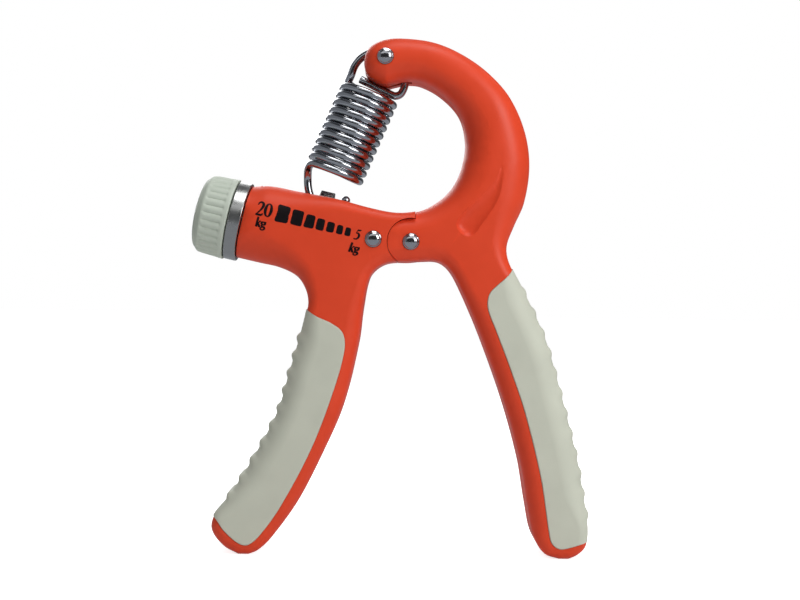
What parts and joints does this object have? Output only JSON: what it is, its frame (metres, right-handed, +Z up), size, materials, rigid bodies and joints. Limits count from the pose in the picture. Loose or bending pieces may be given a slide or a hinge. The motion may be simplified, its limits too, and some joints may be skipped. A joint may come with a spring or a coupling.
{
  "type": "hand gripper",
  "caption": "Adjustable hand gripper: two hinged handles held open by a tension spring, with a knob that sets its pull",
  "frame": {"origin": "centre of the overall box seen from above, at the height of the handle tips", "axes": "+Z up from the handle tips to the bow, +X to the right as the printed face is seen, +Y away from the viewer, along the hinge axis"},
  "size_m": [0.1228, 0.025, 0.1577],
  "materials": {
    "orange_plastic": "satin",
    "grip_rubber": "matt",
    "knob_plastic": "satin",
    "chromed_steel": "polished",
    "brushed_steel": "brushed",
    "plain_steel": "plain",
    "white_nylon": "matt"
  },
  "bodies": {
    "fixed_lever": {"lever_left_front": "orange_plastic", "lever_left_back": "orange_plastic", "grip_left": "grip_rubber", "collar": "brushed_steel", "screw_bush": "white_nylon", "end_bearing": "white_nylon", "hinge_tongue": "plain_steel", "tongue_rivet": "chromed_steel"},
    "moving_lever": {"lever_right_front": "orange_plastic", "lever_right_back": "orange_plastic", "grip_right": "grip_rubber", "pivot_rivet": "chromed_steel", "pivot_bush": "white_nylon"},
    "knob": {"knob": "knob_plastic", "lead_screw": "plain_steel", "thrust_washer": "brushed_steel", "retaining_clip": "plain_steel"},
    "carriage": {"carriage_nut": "plain_steel", "carriage_strap": "brushed_steel"},
    "spring_head": {"spring_rivet": "chromed_steel"},
    "spring": {"tension_spring": "chromed_steel"}
  },
  "joints": [
    {"name": "grip_hinge", "type": "hinge", "parent": "fixed_lever", "child": "moving_lever", "pos_m": [0.0059, 0, 0.0955], "axis": [0, 1, 0], "range_deg": [0, 44], "stiffness_Nm_per_rad": 6.5, "springref_deg": -17.76},
    {"name": "knob_turn", "type": "hinge", "parent": "fixed_lever", "child": "knob", "pos_m": [-0.0453, 0, 0.101], "axis": [-0.9767, 0, 0.2147], "range_deg": [-4320, 2160]},
    {"name": "carriage_slide", "type": "slide", "parent": "fixed_lever", "child": "carriage", "axis": [0.9767, 0, -0.2147], "range_m": [-0.012, 0.006]},
    {"name": "spring_swing", "type": "hinge", "parent": "moving_lever", "child": "spring_head", "pos_m": [-0.0027, 0, 0.1514], "axis": [0, 1, 0], "range_deg": [-7.1, 14]},
    {"name": "spring_stretch", "type": "slide", "parent": "spring_head", "child": "spring", "axis": [0.0358, 0, -0.9994], "range_m": [0, 0.0207], "deforming": ["tension_spring"]}
  ],
  "couplings": [
    {"joint": "carriage_slide", "follows": "knob_turn", "m_per_rad": 0.00015915},
    {"joint": "spring_swing", "follows": "knob_turn", "ratio": -0.0032079},
    {"joint": "spring_stretch", "follows": "grip_hinge", "m_per_rad": 0.026881}
  ]
}
